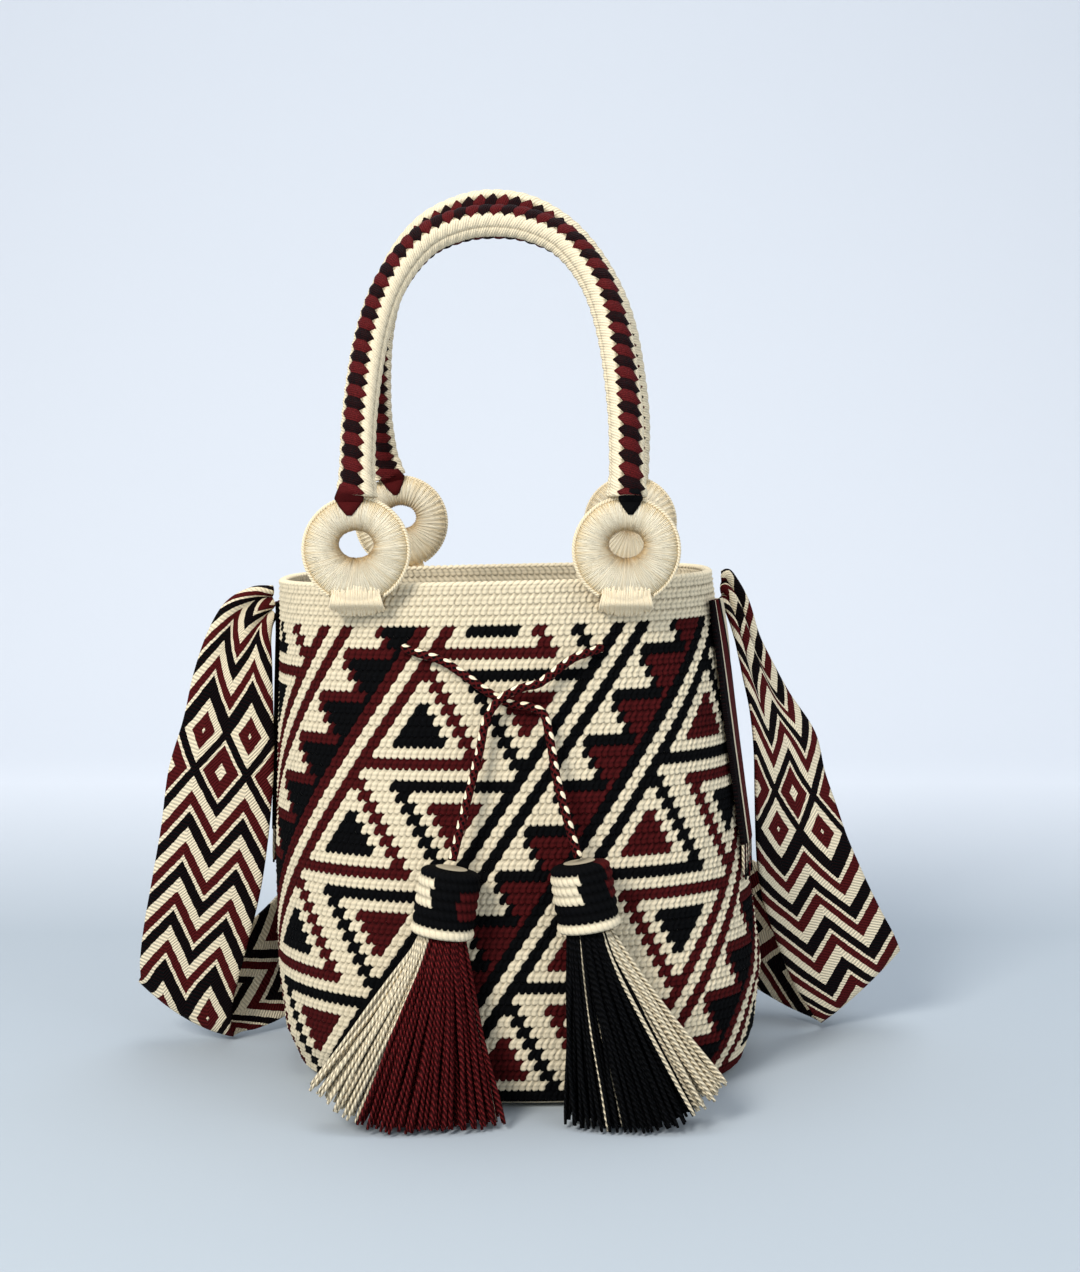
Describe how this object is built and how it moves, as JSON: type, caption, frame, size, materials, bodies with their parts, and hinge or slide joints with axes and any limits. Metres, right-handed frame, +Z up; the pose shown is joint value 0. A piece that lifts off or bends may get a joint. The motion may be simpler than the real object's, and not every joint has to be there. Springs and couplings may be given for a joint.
{
  "type": "wayuu mochila bag",
  "caption": "Round-bottomed crocheted shoulder bag with braided rope handles on wrapped rings, a wide woven shoulder strap and a drawstring ending in tassels",
  "frame": {"origin": "middle of the underside of the base, on the surface that the bag stands on", "axes": "+Z up, front with the knotted drawstring towards -Y, +X to the right as seen from the front"},
  "size_m": [0.488, 0.274, 0.535],
  "materials": {
    "crochet": "matte",
    "satin_thread": "satin",
    "braided_rope": "satin",
    "woven_strap": "matte",
    "drawstring_cord": "matte",
    "tassel_cap": "matte",
    "tassel_yarn": "matte"
  },
  "bodies": {
    "bag": {"bag_body": "crochet", "ring_lashing_front_left": "satin_thread", "ring_lashing_front_right": "satin_thread", "ring_lashing_back_left": "satin_thread", "ring_lashing_back_right": "satin_thread", "drawstring_to_right_tassel": "drawstring_cord", "drawstring_to_left_tassel": "drawstring_cord", "drawstring_inside_left": "drawstring_cord", "drawstring_inside_right": "drawstring_cord", "drawstring_across_back": "drawstring_cord", "tassel_cap_left": "tassel_cap", "tassel_cap_right": "tassel_cap", "tassel_skirt_left": "tassel_yarn", "tassel_skirt_right": "tassel_yarn", "shoulder_strap": "woven_strap", "strap_tail_left": "woven_strap", "strap_tail_right": "woven_strap"},
    "front_handle_and_rings": {"front_handle": "braided_rope", "ring_front_left": "satin_thread", "ring_front_right": "satin_thread"},
    "back_handle_and_rings": {"back_handle": "braided_rope", "ring_back_left": "satin_thread", "ring_back_right": "satin_thread"}
  },
  "joints": [
    {"name": "front_handle_fold", "type": "hinge", "parent": "bag", "child": "front_handle_and_rings", "pos_m": [0, -0.095, 0.2885], "axis": [1, 0, 0], "range_deg": [0, 150]},
    {"name": "back_handle_fold", "type": "hinge", "parent": "bag", "child": "back_handle_and_rings", "pos_m": [0, 0.096, 0.2975], "axis": [-1, 0, 0], "range_deg": [0, 150]}
  ]
}
